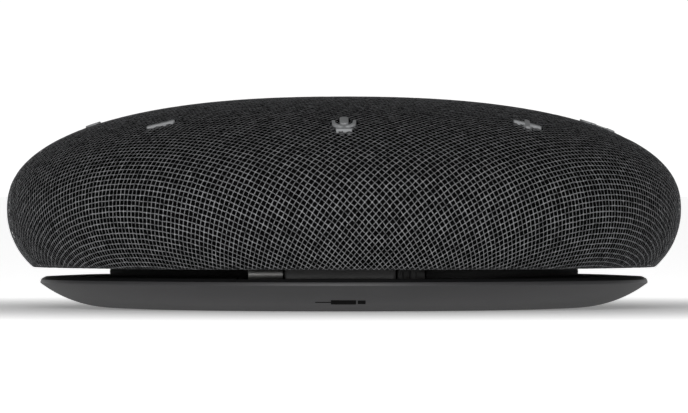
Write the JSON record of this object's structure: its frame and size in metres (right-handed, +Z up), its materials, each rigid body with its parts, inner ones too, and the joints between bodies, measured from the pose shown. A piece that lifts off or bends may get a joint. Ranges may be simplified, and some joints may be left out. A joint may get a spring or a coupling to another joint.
{
  "type": "conference speakerphone",
  "caption": "Round cloth-covered table speakerphone on a low disc foot, with touch-press icon keys on top and its USB lead wound in the groove below.",
  "frame": {"origin": "centre of the rubber foot's underside, on the table", "axes": "+Z up along the body's axis of symmetry, -Y towards the front, where the mute icon and the parked plug are, +X to the front's right"},
  "size_m": [0.133, 0.133, 0.0417],
  "materials": {
    "foot_rubber": "matt moulded rubber",
    "grey_plastic": "fine satin mould texture",
    "black_plastic": "fine satin mould texture",
    "steel_plate": "zinc plated",
    "screw_steel": "plated",
    "plug_metal": "nickel plated",
    "cable_jacket": "matt jacket",
    "soft_rubber": "matt",
    "chip_black": "moulded",
    "circuit_board": "green solder mask",
    "ferrite": "matt sintered",
    "spider_cloth": "impregnated cloth",
    "cone_paper": "pressed pulp",
    "coil_copper": "enamelled wire",
    "key_plastic": "satin",
    "icon_grey": "soft satin",
    "cloth": "open knitted mesh"
  },
  "bodies": {
    "housing": {"foot_pad": "foot_rubber", "base_shell": "grey_plastic", "base_top_plate": "black_plastic", "neck_drum": "black_plastic", "plug_body": "black_plastic", "lower_housing": "black_plastic", "grille_shell": "black_plastic", "speaker_chamber": "black_plastic", "ballast_plate": "steel_plate", "driver_basket": "steel_plate", "driver_yoke": "steel_plate", "driver_top_plate": "steel_plate", "base_screw_1": "screw_steel", "base_screw_2": "screw_steel", "base_screw_3": "screw_steel", "base_screw_4": "screw_steel", "shell_screw_1": "screw_steel", "shell_screw_2": "screw_steel", "shell_screw_3": "screw_steel", "shell_screw_4": "screw_steel", "chamber_screw_1": "screw_steel", "chamber_screw_2": "screw_steel", "chamber_screw_3": "screw_steel", "plug_tip": "plug_metal", "mic_left": "plug_metal", "mic_right": "plug_metal", "cable": "cable_jacket", "plug_relief": "cable_jacket", "cable_grommet": "soft_rubber", "mic_boot_left": "soft_rubber", "mic_boot_right": "soft_rubber", "driver_gasket": "soft_rubber", "driver_surround": "soft_rubber", "plug_insert": "chip_black", "processor_chip": "chip_black", "amplifier_chip": "chip_black", "cable_socket": "chip_black", "switch_call": "chip_black", "switch_quieter": "chip_black", "switch_mute": "chip_black", "switch_louder": "chip_black", "switch_talk": "chip_black", "main_board": "circuit_board", "button_board": "circuit_board", "driver_magnet": "ferrite", "driver_spider": "spider_cloth", "cloth_cover": "cloth"},
    "diaphragm": {"driver_cone": "cone_paper", "voice_coil": "coil_copper", "dust_cap": "cone_paper"},
    "call_button": {"key_call": "key_plastic", "icon_call": "icon_grey"},
    "quieter_button": {"key_quieter": "key_plastic", "icon_quieter": "icon_grey"},
    "mute_button": {"key_mute": "key_plastic", "icon_mute": "icon_grey"},
    "louder_button": {"key_louder": "key_plastic", "icon_louder": "icon_grey"},
    "talk_button": {"key_talk": "key_plastic", "icon_talk": "icon_grey"}
  },
  "joints": [
    {"name": "call_press", "type": "slide", "parent": "housing", "child": "call_button", "axis": [0, 0, -1], "range_m": [0, 0.0005], "stiffness_N_per_m": 200},
    {"name": "quieter_press", "type": "slide", "parent": "housing", "child": "quieter_button", "axis": [0, 0, -1], "range_m": [0, 0.0005], "stiffness_N_per_m": 200},
    {"name": "mute_press", "type": "slide", "parent": "housing", "child": "mute_button", "axis": [0, 0, -1], "range_m": [0, 0.0005], "stiffness_N_per_m": 200},
    {"name": "louder_press", "type": "slide", "parent": "housing", "child": "louder_button", "axis": [0, 0, -1], "range_m": [0, 0.0005], "stiffness_N_per_m": 200},
    {"name": "talk_press", "type": "slide", "parent": "housing", "child": "talk_button", "axis": [0, 0, -1], "range_m": [0, 0.0005], "stiffness_N_per_m": 200},
    {"name": "cone_travel", "type": "slide", "parent": "housing", "child": "diaphragm", "axis": [0, 0, 1], "range_m": [-0.0008, 0.0008], "stiffness_N_per_m": 800, "deforming": ["driver_surround", "driver_spider"]}
  ]
}
